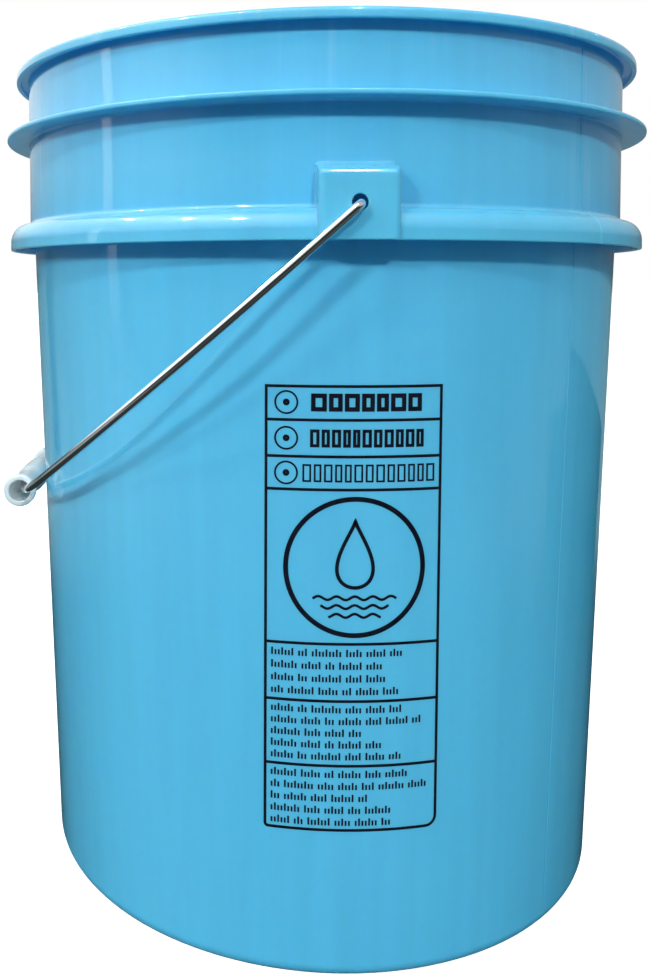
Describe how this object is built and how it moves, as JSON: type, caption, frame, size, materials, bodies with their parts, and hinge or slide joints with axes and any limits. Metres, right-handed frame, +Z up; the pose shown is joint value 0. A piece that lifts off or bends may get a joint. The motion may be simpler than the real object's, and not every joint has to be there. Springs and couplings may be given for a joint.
{
  "type": "plastic fermenting bucket",
  "caption": "Round tapered plastic fermenting bucket with a rolled rim, an outer fin and skirt, bail ears, and a swinging wire bail with a loose tube grip.",
  "frame": {"origin": "centre of the base, on the surface that the foot ring stands on", "axes": "+Z up along the pail's axis, +Y and -Y through the two bail ears, -X towards the side where the bail and its grip hang at rest"},
  "size_m": [0.311, 0.3236, 0.372],
  "materials": {
    "pail_plastic": "gloss moulded sky-blue high-density polyethylene",
    "bail_wire": "bright drawn and plated steel wire",
    "grip_plastic": "smooth milky-white moulded plastic"
  },
  "bodies": {
    "pail": {"pail": "pail_plastic"},
    "bail": {"bail": "bail_wire"},
    "grip": {"grip": "grip_plastic"}
  },
  "joints": [
    {"name": "bail_swing", "type": "hinge", "parent": "pail", "child": "bail", "pos_m": [0, 0, 0.3002], "axis": [0, 1, 0], "range_deg": [0, 262]},
    {"name": "grip_spin", "type": "hinge", "parent": "bail", "child": "grip", "pos_m": [-0.14569, 0, 0.17291], "axis": [0, 1, 0], "continuous": true}
  ]
}
